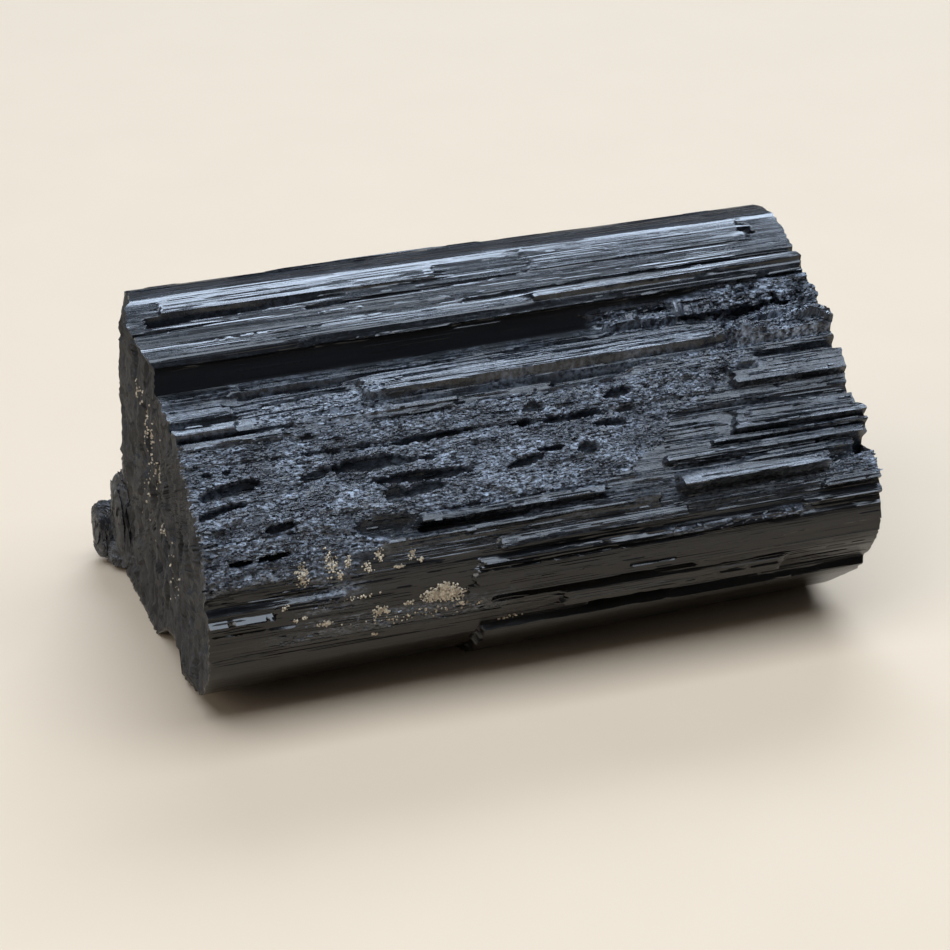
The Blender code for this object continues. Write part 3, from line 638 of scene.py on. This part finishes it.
for side, middle_x, outward in ((along < 0.5, LEFT_FACE, -1), (along > 0.5, RIGHT_FACE, 1)):
    inner = side & on_end
    y[inner] = HUB[0] + (y[inner] - HUB[0]) * reach[inner]
    z[inner] = HUB[1] + (z[inner] - HUB[1]) * reach[inner]
    torn = fracture(y[inner] + FRACTURES_APART * (outward + 1), z[inner])
    depth = ramp(reach[inner], 1.0, 0.9)
    face_x = middle_x + outward * torn
    if outward < 0:
        for (hole_y, hole_z), (radius_y, radius_z), hole_depth in END_HOLES:
            off = np.hypot((y[inner] - hole_y) / radius_y, (z[inner] - hole_z) / radius_z)
            face_x = face_x + hole_depth * ramp(off + 0.2 * torn, 1.15, 0.6)
    x[inner] = x[inner] + (face_x - x[inner]) * depth
seam = turn > 1 - 1e-6
for values in (x, y, z):
    values[seam] = values[turn < 1e-6]
placed = np.column_stack((x + CORNER[0], y + CORNER[1], z)) * MM
mesh.vertices.foreach_set("co", placed.ravel())
skin = mesh.attributes.new("skin", 'FLOAT_VECTOR', 'POINT')
skin.data.foreach_set("vector", np.column_stack((x, s, height)).ravel())
# The crust value carries the etched crust and, through the dull share, painted sheen that pales a
# face.
crust = mesh.attributes.new("crust", 'FLOAT', 'POINT')
crust.data.foreach_set("value", np.maximum(rough, np.interp(s, *zip(*DULL_AND_SHEEN))))
end_face = mesh.attributes.new("end_face", 'FLOAT', 'POINT')
end_face.data.foreach_set("value", on_end.astype(float))
silk = mesh.attributes.new("silk", 'FLOAT', 'POINT')
silk.data.foreach_set("value", np.interp(s, *zip(*SILK)))
# Painted shade: the underside and lower front get a darker, faintly brown colour, toward the
# bottom.
low_shade = mesh.attributes.new("low_shade", 'FLOAT', 'POINT')
low_shade.data.foreach_set("value", ramp(s, 23.0, 19.0) * ramp(s, -BASE_WRAP, 0.0))
mesh.update()
bpy.ops.object.mode_set(mode='EDIT')
bpy.ops.mesh.select_all(action='SELECT')
bpy.ops.mesh.remove_doubles(threshold=1e-7)
bpy.ops.mesh.normals_make_consistent(inside=False)
bpy.ops.object.mode_set(mode='OBJECT')

count = sum(len(face.vertices) - 2 for face in mesh.polygons)
thin = crystal.modifiers.new("thin", 'DECIMATE')
thin.ratio = TRIANGLES / count
bpy.ops.object.modifier_apply(modifier=thin.name)
bpy.ops.object.shade_smooth_by_angle(angle=math.radians(SMOOTH_BELOW))

# Schorl: black glass with hair striae, sugary where it is etched and there pale and faintly blue,
# partly its own grey and partly painted sheen of the cool overhead light; darker and faintly brown
# on the lower faces, which is painted shade; and matt grey-brown on the fractures.
BLACK = (0.004, 0.0045, 0.0055, 1.0)
# A darker, faintly brown black for the lower faces: painted shade.
SHADED_BROWN_BLACK = (0.0025, 0.0020, 0.0015, 1.0)
CRUST_DARK = (0.026, 0.030, 0.040, 1.0)
# Pale end of the crust tint: partly the etched crust's own grey, partly painted sheen of the cool
# overhead light.
CRUST_PALE_SHEEN = (0.400, 0.455, 0.545, 1.0)
FRACTURE_DARK = (0.012, 0.011, 0.011, 1.0)
FRACTURE_PALE = (0.056, 0.053, 0.050, 1.0)

schorl = bpy.data.materials.new("schorl")
schorl.use_nodes = True
nodes, links = schorl.node_tree.nodes, schorl.node_tree.links
shader = nodes["Principled BSDF"]
shader.inputs["IOR"].default_value = 1.63
shader.inputs["Specular IOR Level"].default_value = 0.37


def read_skin(name, output):
    """A value that the skin carries, for the finish to follow."""
    node = nodes.new("ShaderNodeAttribute")
    node.attribute_name = name
    return node.outputs[output]


def stretched(source, scale, detail, rough=0.5):
    """Fine noise over a vector, drawn out by unequal scales."""
    mapping = nodes.new("ShaderNodeMapping")
    mapping.inputs["Scale"].default_value = scale
    noise = nodes.new("ShaderNodeTexNoise")
    noise.inputs["Scale"].default_value = 1.0
    noise.inputs["Detail"].default_value = detail
    noise.inputs["Roughness"].default_value = rough
    links.new(source, mapping.inputs["Vector"])
    links.new(mapping.outputs["Vector"], noise.inputs["Vector"])
    return noise.outputs["Fac"]


def spread(source, from_low, from_high, to_low=0.0, to_high=1.0):
    """Spreads a value from one range to another."""
    node = nodes.new("ShaderNodeMapRange")
    for name, value in (("From Min", from_low), ("From Max", from_high),
                        ("To Min", to_low), ("To Max", to_high)):
        node.inputs[name].default_value = value
    links.new(source, node.inputs["Value"])
    return node.outputs["Result"]


def blend_tint(share, low, high):
    """Mixes two tints, each a colour or a socket."""
    node = nodes.new("ShaderNodeMix")
    node.data_type = 'RGBA'
    links.new(share, node.inputs["Factor"])
    for name, tint in (("A", low), ("B", high)):
        socket = [i for i in node.inputs if i.name == name and i.type == 'RGBA'][0]
        if isinstance(tint, tuple):
            socket.default_value = tint
        else:
            links.new(tint, socket)
    return [o for o in node.outputs if o.type == 'RGBA'][0]


def reckon(kind, first, second):
    """Arithmetic on two values, each a number or a socket."""
    node = nodes.new("ShaderNodeMath")
    node.operation = kind
    for socket, value in zip(node.inputs, (first, second)):
        if isinstance(value, (int, float)):
            socket.default_value = value
        else:
            links.new(value, socket)
    return node.outputs["Value"]


def press_in(height, distance, below=None):
    """A bump of that many metres, over another one."""
    node = nodes.new("ShaderNodeBump")
    node.inputs["Strength"].default_value = 1.0
    node.inputs["Distance"].default_value = distance
    links.new(height, node.inputs["Height"])
    if below is not None:
        links.new(below, node.inputs["Normal"])
    return node.outputs["Normal"]


skin_xs = read_skin("skin", "Vector")
# Etched crust, and painted sheen where the dull share pales a face.
crust_and_sheen = read_skin("crust", "Fac")
broken = read_skin("end_face", "Fac")
low_shade = read_skin("low_shade", "Fac")
place_node = nodes.new("ShaderNodeTexCoord")
in_space = place_node.outputs["Object"]

wide_striae = stretched(skin_xs, (0.10, 2.6, 0.0), 3.0, 0.6)
fine_striae = stretched(skin_xs, (0.22, 9.0, 0.0), 3.0, 0.6)
grain = stretched(skin_xs, (1.7, 3.4, 1.0), 5.0, 0.68)
fine_grain = stretched(in_space, (7000.0, 7000.0, 7000.0), 3.0, 0.7)
fibres = stretched(in_space, (600.0, 1900.0, 260.0), 5.0, 0.65)

# Grain and patches pale the crust: partly its own tone, partly painted sheen and glints of the
# overhead light.
patches = stretched(skin_xs, (0.22, 0.42, 0.0), 3.0, 0.55)
paleness_and_sheen = reckon('MULTIPLY', spread(grain, 0.42, 0.62), spread(patches, 0.40, 0.57, 0.12, 1.0))
crust_and_sheen_tint = blend_tint(paleness_and_sheen, CRUST_DARK, CRUST_PALE_SHEEN)
# Painted shade darkens the lower faces.
face_and_shade_tint = blend_tint(low_shade, BLACK, SHADED_BROWN_BLACK)
skin_tint = blend_tint(crust_and_sheen, face_and_shade_tint, crust_and_sheen_tint)
fracture_tint = blend_tint(spread(fibres, 0.35, 0.72), FRACTURE_DARK, FRACTURE_PALE)
links.new(blend_tint(broken, skin_tint, fracture_tint), shader.inputs["Base Color"])

face_gloss = spread(wide_striae, 0.3, 0.7, 0.16, 0.28)
crust_gloss = spread(fine_grain, 0.35, 0.65, 0.24, 0.44)
added_gloss = reckon('MULTIPLY', crust_and_sheen, spread(crust_gloss, 0.2, 0.6, 0.0, 0.4))
skin_gloss = reckon('ADD', face_gloss, added_gloss)
gloss = reckon('MAXIMUM', skin_gloss, reckon('MULTIPLY', broken, 0.72))
links.new(gloss, shader.inputs["Roughness"])

silky = reckon('MULTIPLY', read_skin("silk", "Fac"),
               reckon('SUBTRACT', 1.0, reckon('MAXIMUM', crust_and_sheen, broken)))
bump = press_in(reckon('MULTIPLY', wide_striae, silky), 0.00012)
bump = press_in(reckon('MULTIPLY', fine_striae, silky), 0.00004, bump)
bump = press_in(reckon('MULTIPLY', grain, crust_and_sheen), 0.00016, bump)
bump = press_in(reckon('MULTIPLY', fine_grain, reckon('MAXIMUM', crust_and_sheen, broken)), 0.00006, bump)
bump = press_in(reckon('MULTIPLY', fibres, broken), 0.0004, bump)
links.new(bump, shader.inputs["Normal"])
crystal.data.materials.clear()
crystal.data.materials.append(schorl)
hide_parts("tourmaline_crystal")
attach(crystal, "root")


# ---------------------------------------------------------------------------------------------
# Fine laths: hair-thin prisms of schorl that grew side by side on the faces and give them their
# silky lines. Each is a low ridge, let into the skin and following it along x.

# x from, x to, s from, s to, how many, longest in mm, widest, highest
FINE_LATHS = (
    (-0.8, 69.8, 50.0, 55.0, 190, 15.0, 0.30, 0.045),
    (-0.8, 69.8, 55.0, 62.5, 210, 15.0, 0.40, 0.025),
    (0.0, 69.8, 46.3, 49.3, 40, 12.0, 0.24, 0.04),
    (0.0, 58.0, 41.0, 46.0, 260, 11.0, 0.30, 0.10),
    (48.0, 69.9, 28.0, 40.0, 420, 9.0, 0.26, 0.12),
    (18.0, 69.9, 22.0, 28.0, 320, 12.0, 0.26, 0.09),
    (18.0, 69.9, 18.5, 22.0, 60, 12.0, 0.2, 0.04),
    (0.0, 69.9, 14.0, 19.0, 160, 14.0, 0.26, 0.05),
    (0.0, 20.0, 19.0, 24.0, 100, 8.0, 0.22, 0.07),
    (0.0, 47.0, 26.0, 40.0, 380, 4.0, 0.24, 0.16),
    (0.0, 69.7, 62.0, 98.0, 300, 18.0, 0.5, 0.12),
)
LATH_STATIONS = 8
LATH_ROOT = 0.12

rng = np.random.default_rng(7)
points, faces, carried = [], [], []
for x_from, x_to, s_from, s_to, number, longest, widest, highest in FINE_LATHS:
    length = longest * rng.uniform(0.15, 1.0, number) ** 1.6
    start = rng.uniform(x_from, x_to, number) - 0.5 * length
    stop = np.clip(start + length, x_from, x_to)
    start = np.clip(start, x_from, x_to)
    at_s = rng.uniform(s_from, s_to, number)
    start = np.maximum(start, np.interp(at_s, *zip(*LEFT_RIM)) + 0.15)
    stop = np.minimum(stop, np.interp(at_s, *zip(*RIGHT_RIM)) - 0.15)
    width = widest * rng.uniform(0.35, 1.0, number)
    rise = highest * rng.uniform(0.3, 1.0, number)
    tilt = rng.uniform(-0.7, 0.35, number)
    share = np.linspace(0.0, 1.0, LATH_STATIONS)
    lath_x = start[:, None] + (stop - start)[:, None] * share
    lath_s = np.repeat(at_s[:, None], LATH_STATIONS, axis=1)
    ground, _ = relief(lath_x.ravel(), lath_s.ravel())
    ground = ground.reshape(lath_x.shape)
    kept = (np.ptp(ground, axis=1) < 0.4) & (stop - start > 0.4)
    for k in np.flatnonzero(kept):
        base = len(points)
        taper = np.minimum(1.0, np.minimum(share, 1 - share) * 12 + 0.25)
        for offset, lift in ((-0.5, None), (-0.38, -1), (0.38, 1), (0.5, None)):
            across = lath_s[k] + offset * width[k] * taper
            if lift is None:
                high = ground[k] - LATH_ROOT
            else:
                high = ground[k] + rise[k] * (1 + lift * tilt[k]) * taper
            y, z = skin_place(lath_x[k], across, high)
            points.extend(zip(lath_x[k], y, z))
            carried.extend(zip(lath_x[k], across, high))
        for strip in range(4):
            for step in range(LATH_STATIONS - 1):
                corner = base + strip * LATH_STATIONS + step
                beside = base + (strip + 1) % 4 * LATH_STATIONS + step
                faces.append((corner, corner + 1, beside + 1, beside))
        near = [base + strip * LATH_STATIONS for strip in range(4)]
        faces.append(near)
        faces.append([corner + LATH_STATIONS - 1 for corner in reversed(near)])
points = (np.array(points) + (CORNER[0], CORNER[1], 0.0)) * MM
mesh = bpy.data.meshes.new("fine_laths")
mesh.from_pydata(points.tolist(), [], faces)
fine_laths = bpy.data.objects.new("fine_laths", mesh)
bpy.context.scene.collection.objects.link(fine_laths)
skin = mesh.attributes.new("skin", 'FLOAT_VECTOR', 'POINT')
skin.data.foreach_set("vector", np.array(carried).ravel())
silk = mesh.attributes.new("silk", 'FLOAT', 'POINT')
carried_s = np.array(carried)[:, 1]
silk.data.foreach_set("value", 0.5 * np.interp(carried_s, *zip(*SILK)))
# The dull share paints sheen on the fine laths too.
crust = mesh.attributes.new("crust", 'FLOAT', 'POINT')
crust.data.foreach_set("value", np.interp(carried_s, *zip(*DULL_AND_SHEEN)))
fine_laths.data.materials.append(schorl)
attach(fine_laths, "root")


# ---------------------------------------------------------------------------------------------
# Crust grains: what the etching left of the laths, blocky splinters of schorl that still lie
# along the prism. Each is a small tilted block with its root in the crust.

GRAINS = 12000
rng = np.random.default_rng(11)
grain_x = rng.uniform(-0.2, 70.0, GRAINS * 4)
grain_s = rng.uniform(15.5, 49.5, GRAINS * 4)
ground, rough = relief(grain_x, grain_s)
kept = np.flatnonzero(rough > rng.uniform(0.25, 0.95, len(rough)))[:GRAINS]
grain_x, grain_s, ground = grain_x[kept], grain_s[kept], ground[kept]
number = len(kept)
half = np.column_stack((rng.uniform(0.06, 0.20, number) + 0.35 * rng.random(number) ** 6,
                        rng.uniform(0.05, 0.12, number), rng.uniform(0.05, 0.11, number)))
signs = np.array([(a, b, c) for a in (-1, 1) for b in (-1, 1) for c in (-1, 1)], dtype=float)
blocks = signs[None, :, :] * half[:, None, :] * rng.uniform(0.7, 1.1, (number, 8, 3))
turn = rng.normal(0.0, 0.16, number)
tip = rng.normal(0.0, 0.16, number)
roll = rng.normal(-0.08, 0.28, number)
u, v, w = blocks[:, :, 0], blocks[:, :, 1], blocks[:, :, 2]
u, v = u * np.cos(turn)[:, None] - v * np.sin(turn)[:, None], (
    u * np.sin(turn)[:, None] + v * np.cos(turn)[:, None])
u, w = u * np.cos(tip)[:, None] - w * np.sin(tip)[:, None], (
    u * np.sin(tip)[:, None] + w * np.cos(tip)[:, None])
v, w = v * np.cos(roll)[:, None] - w * np.sin(roll)[:, None], (
    v * np.sin(roll)[:, None] + w * np.cos(roll)[:, None])
at_x, at_s, at_h = grain_x[:, None] + u, grain_s[:, None] + v, ground[:, None] + 0.02 + w
y, z = skin_place(at_x.ravel(), at_s.ravel(), at_h.ravel())
points = (np.column_stack((at_x.ravel(), y, z)) + (CORNER[0], CORNER[1], 0.0)) * MM
sides = np.array(((0, 1, 3, 2), (4, 6, 7, 5), (0, 4, 5, 1),
                  (2, 3, 7, 6), (0, 2, 6, 4), (1, 5, 7, 3)))
faces = (np.arange(number)[:, None, None] * 8 + sides[None]).reshape(-1, 4)
mesh = bpy.data.meshes.new("crust_grains")
mesh.from_pydata(points.tolist(), [], faces.tolist())
crust_grains = bpy.data.objects.new("crust_grains", mesh)
bpy.context.scene.collection.objects.link(crust_grains)
skin = mesh.attributes.new("skin", 'FLOAT_VECTOR', 'POINT')
skin.data.foreach_set("vector", np.column_stack((at_x.ravel(), at_s.ravel(), at_h.ravel())).ravel())
# Each grain takes a random share of the pale crust tint, which is partly painted sheen.
crust = mesh.attributes.new("crust", 'FLOAT', 'POINT')
crust.data.foreach_set("value", np.repeat(rng.uniform(0.0, 0.9, number), 8))
crust_grains.data.materials.append(schorl)
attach(crust_grains, "root")


# ---------------------------------------------------------------------------------------------
# Foot crystals: a knob of smaller schorl crystals grown into each other and onto the foot of the
# back, behind the left end. Blocky lumps, let into the big crystal and into one another.

# centre from the crystal's own corner, half sizes, seed
KNOBS = (
    ((3.2, 34.2, 5.2), (4.3, 4.2, 5.2), 1),
    ((-1.2, 36.4, 3.8), (1.8, 2.2, 3.3), 2),
    ((7.4, 34.4, 3.5), (3.4, 2.6, 3.4), 3),
    ((0.9, 33.4, 6.4), (2.3, 2.6, 6.0), 4),
    ((0.4, 35.0, 2.0), (2.3, 2.4, 2.0), 5),
)

lumps = []
for centre, half_size, seed in KNOBS:
    bpy.ops.object.select_all(action='DESELECT')
    bpy.ops.mesh.primitive_ico_sphere_add(subdivisions=6, radius=1.0, location=(0.0, 0.0, 0.0))
    lump = bpy.context.object
    mesh = lump.data
    place = np.empty(len(mesh.vertices) * 3)
    mesh.vertices.foreach_get("co", place)
    place = place.reshape(-1, 3)
    boxy = place / np.power((np.abs(place) ** 3.2).sum(axis=1), 1 / 3.2)[:, None]
    across, upward = boxy[:, 0] * 1.3 + 0.5 * boxy[:, 1], boxy[:, 2] + boxy[:, 1]
    steps = chips(600 + seed, 0.34, 0.9, across, upward)
    steps = 0.10 * steps + 0.05 * chips(610 + seed, 0.12, 0.3, boxy[:, 0] + boxy[:, 1], boxy[:, 2])
    sized = boxy * (0.93 + steps)[:, None] * half_size + centre
    sized[:, 2] = np.maximum(sized[:, 2], 0.0)
    mesh.vertices.foreach_set("co", ((sized + (CORNER[0], CORNER[1], 0.0)) * MM).ravel())
    mesh.update()
    skin = mesh.attributes.new("skin", 'FLOAT_VECTOR', 'POINT')
    grown = np.column_stack((sized[:, 2], sized[:, 0] + 0.6 * sized[:, 1], 0.0 * sized[:, 2]))
    skin.data.foreach_set("vector", grown.ravel())
    silk = mesh.attributes.new("silk", 'FLOAT', 'POINT')
    silk.data.foreach_set("value", np.ones(len(mesh.vertices)))
    lumps.append(lump)
bpy.ops.object.select_all(action='DESELECT')
for lump in lumps:
    lump.select_set(True)
bpy.context.view_layer.objects.active = lumps[0]
bpy.ops.object.join()
foot_crystals = bpy.context.object
foot_crystals.name = "foot_crystals"
bpy.ops.object.shade_smooth_by_angle(angle=math.radians(20.0))
mesh = foot_crystals.data
# A share of the pale crust tint, which is partly painted sheen.
crust = mesh.attributes.new("crust", 'FLOAT', 'POINT')
crust.data.foreach_set("value", np.full(len(mesh.vertices), 0.25))
end_face = mesh.attributes.new("end_face", 'FLOAT', 'POINT')
end_face.data.foreach_set("value", np.full(len(mesh.vertices), 0.45))
mesh.materials.clear()
mesh.materials.append(schorl)
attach(foot_crystals, "root")


# ---------------------------------------------------------------------------------------------
# Clay crumbs: pale tan clay from the pocket where the crystal grew, dried into hollows of the
# lower front and into the left fracture. Crumbs a tenth of a millimetre across, stuck together.

# x, s, half length, half width, how many
CLAY_SPOTS = (
    (22.4, 19.6, 1.3, 0.75, 330), (24.2, 19.5, 1.2, 0.8, 260), (23.3, 20.5, 0.7, 0.4, 90),
    (25.0, 18.0, 0.6, 0.2, 35), (9.2, 24.2, 0.7, 1.1, 150), (12.1, 24.9, 0.7, 1.2, 120),
    (12.9, 23.4, 0.3, 0.3, 24), (16.7, 18.8, 0.6, 0.5, 90), (17.5, 18.5, 0.3, 0.2, 20),
    (19.6, 19.2, 0.5, 0.2, 40), (11.3, 18.3, 0.7, 0.3, 60), (8.3, 19.3, 0.2, 0.2, 14),
    (9.2, 19.5, 0.2, 0.2, 14), (16.4, 15.3, 0.3, 0.2, 16), (20.1, 24.4, 0.3, 0.6, 34),
    (21.0, 23.8, 0.3, 0.2, 16), (18.9, 23.4, 0.5, 0.2, 26), (13.8, 24.7, 0.4, 0.9, 34),
    (16.8, 25.0, 0.4, 0.8, 30), (15.7, 23.9, 0.5, 0.6, 26), (14.8, 20.9, 1.6, 0.2, 24),
    (7.2, 21.2, 0.5, 0.3, 14), (30.5, 14.2, 1.2, 0.3, 16), (20.0, 17.4, 6.0, 0.8, 60),
)
# y, z on the left end, half width, half height, how many
CLAY_ON_END = (
    (17.5, 24.5, 1.6, 2.4, 120), (14.0, 21.0, 1.4, 1.8, 70), (20.5, 27.5, 1.5, 1.5, 60),
    (13.2, 15.0, 1.2, 1.0, 40), (17.0, 20.0, 4.0, 6.0, 90), (9.5, 12.0, 3.0, 4.0, 40),
)
CLAY_PALE = (0.60, 0.52, 0.40, 1.0)
CLAY_DARK = (0.25, 0.20, 0.14, 1.0)

rng = np.random.default_rng(23)
bpy.ops.object.select_all(action='DESELECT')
bpy.ops.mesh.primitive_ico_sphere_add(subdivisions=1, radius=1.0, location=(0.0, 0.0, 0.0))
crumb = bpy.context.object
crumb_points = np.array([vertex.co[:] for vertex in crumb.data.vertices])
crumb_faces = np.array([face.vertices[:] for face in crumb.data.polygons])
bpy.data.objects.remove(crumb)
centres = []
for spot_x, spot_s, half_length, half_width, number in CLAY_SPOTS:
    at_x = spot_x + half_length * rng.normal(0.0, 0.5, number).clip(-1.2, 1.2)
    at_s = spot_s + half_width * rng.normal(0.0, 0.5, number).clip(-1.2, 1.2)
    at_h, _ = relief(at_x, at_s)
    y, z = skin_place(at_x, at_s, at_h + 0.03)
    centres.append(np.column_stack((at_x, y, z)))
for spot_y, spot_z, half_width, half_height, number in CLAY_ON_END:
    at_y = spot_y + half_width * rng.normal(0.0, 0.5, number)
    at_z = spot_z + half_height * rng.normal(0.0, 0.5, number)
    centres.append(np.column_stack((-fracture(at_y, at_z) - 0.02, at_y, at_z)))
centres = np.concatenate(centres)
size = rng.uniform(0.05, 0.16, (len(centres), 1, 1)) * rng.uniform(0.7, 1.2, (len(centres), 1, 3))
crumbs = crumb_points[None] * size * rng.uniform(0.7, 1.15, (len(centres), len(crumb_points), 1))
points = (crumbs + centres[:, None] + (CORNER[0], CORNER[1], 0.0)).reshape(-1, 3) * MM
first_corners = np.arange(len(centres))[:, None, None] * len(crumb_points)
faces = (first_corners + crumb_faces[None]).reshape(-1, 3)
mesh = bpy.data.meshes.new("clay_crumbs")
mesh.from_pydata(points.tolist(), [], faces.tolist())
clay_crumbs = bpy.data.objects.new("clay_crumbs", mesh)
bpy.context.scene.collection.objects.link(clay_crumbs)

clay = bpy.data.materials.new("dry_clay")
clay.use_nodes = True
nodes, links = clay.node_tree.nodes, clay.node_tree.links
shader = nodes["Principled BSDF"]
shader.inputs["Roughness"].default_value = 0.9
in_space = nodes.new("ShaderNodeTexCoord").outputs["Object"]
links.new(blend_tint(spread(stretched(in_space, (2600.0, 2600.0, 2600.0), 3.0), 0.35, 0.62),
                     CLAY_DARK, CLAY_PALE), shader.inputs["Base Color"])
mesh.materials.append(clay)
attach(clay_crumbs, "root")
